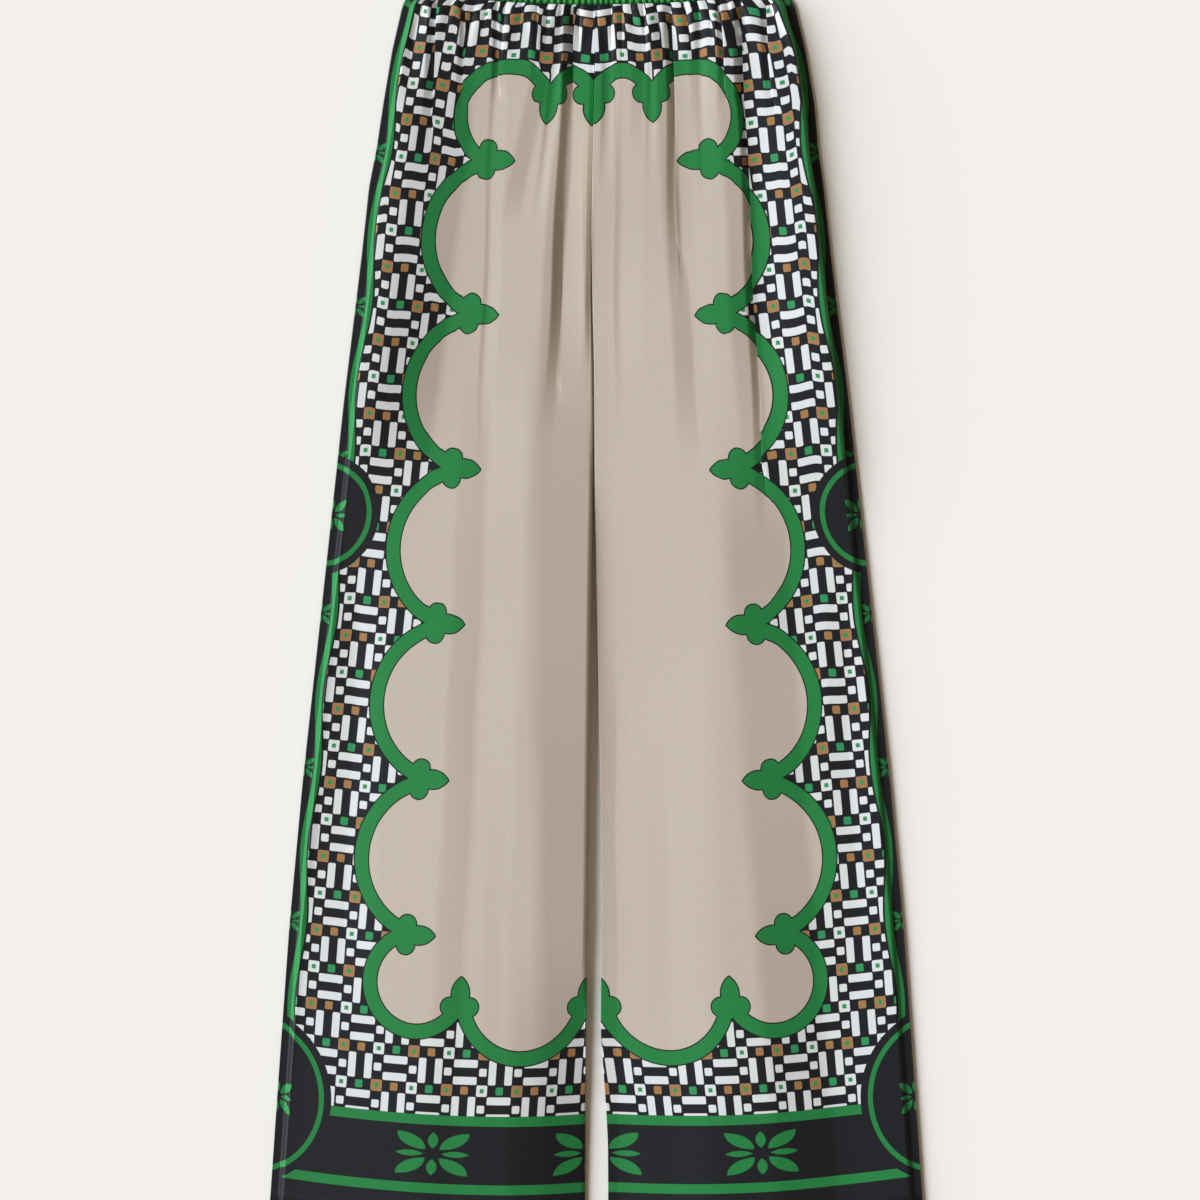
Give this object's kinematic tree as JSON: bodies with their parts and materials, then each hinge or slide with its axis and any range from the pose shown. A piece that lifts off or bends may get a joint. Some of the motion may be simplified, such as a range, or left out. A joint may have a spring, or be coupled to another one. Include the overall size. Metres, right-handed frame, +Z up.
{
  "type": "palazzo pants",
  "caption": "Wide-leg palazzo pants in printed silk with a gathered elastic waistband, laid flat on their back.",
  "frame": {"origin": "on the surface that the pants lie on, under the middle of their outline", "axes": "+Y from the hems towards the waistband, +X towards the wearer's left leg, +Z up from the surface through the back and then the front"},
  "size_m": [0.5708, 1.1108, 0.0176],
  "materials": {
    "printed_silk": "satin twill, printed with a beige field in a border of green, near-black, off-white and tan",
    "plain_silk": "satin twill, plain green, finely gathered"
  },
  "bodies": {
    "root": {"front_right": "printed_silk", "front_left": "printed_silk", "back_right": "printed_silk", "back_left": "printed_silk", "waistband": "plain_silk"}
  },
  "joints": []
}
